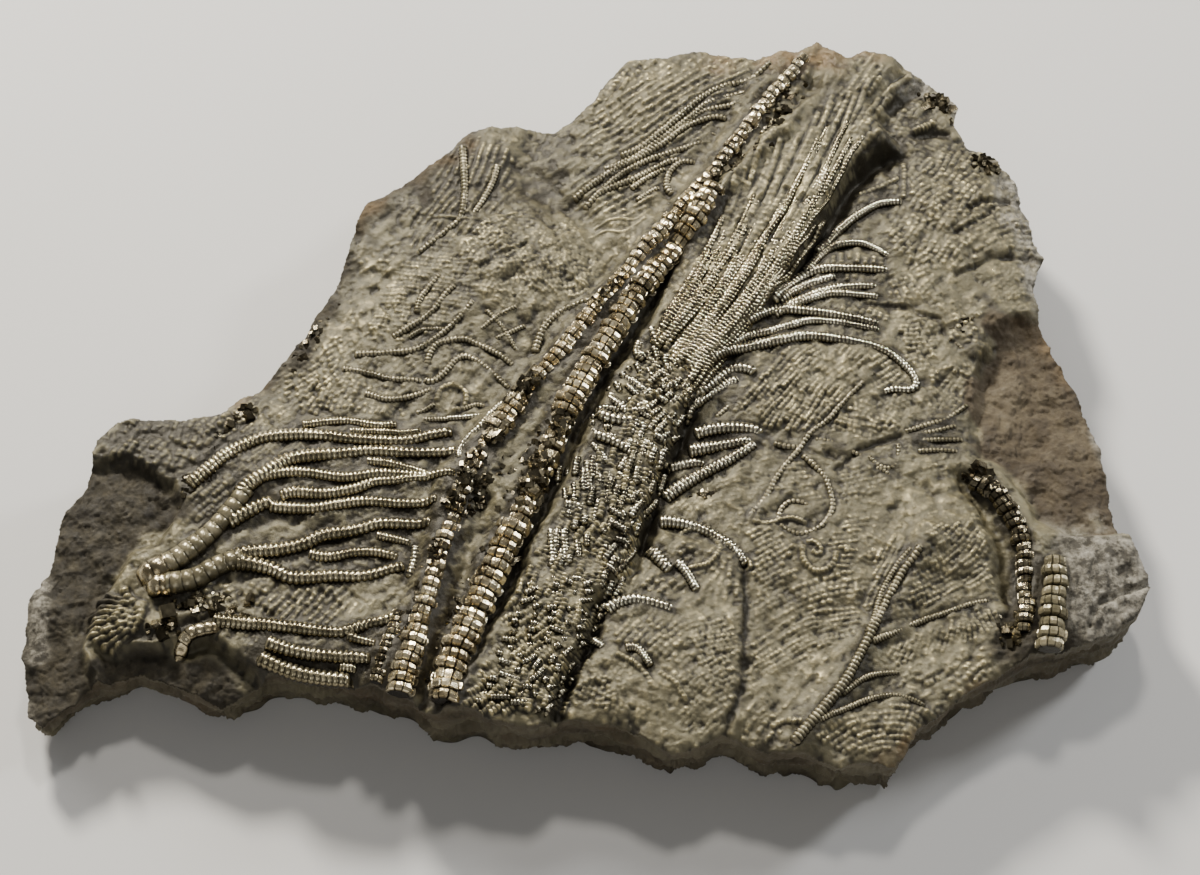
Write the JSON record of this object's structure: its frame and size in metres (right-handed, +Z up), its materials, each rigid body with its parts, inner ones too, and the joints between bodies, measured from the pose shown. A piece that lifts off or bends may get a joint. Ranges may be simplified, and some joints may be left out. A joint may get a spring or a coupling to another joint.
{
  "type": "pyritized fossil crinoid slab",
  "caption": "Flat slab of dark shale with a group of pyritized sea lilies in relief: long jointed stalks, a feathery crown and spread arms; lies on its flat underside",
  "frame": {"origin": "centre of the slab's box in plan, at the level of its flat underside", "axes": "+X along the slab's longest side, to the right as seen with the fossil face up and the lower ends of the stalks nearest; +Y away from the viewer; +Z up, out of the fossil face"},
  "size_m": [0.1836, 0.138, 0.0217],
  "materials": {
    "pyrite_shale": "grey-brown shale with a brassy pyrite skin, worn satin, glinting on the raised joints"
  },
  "bodies": {
    "root": {"fossil_slab": "pyrite_shale"}
  },
  "joints": []
}
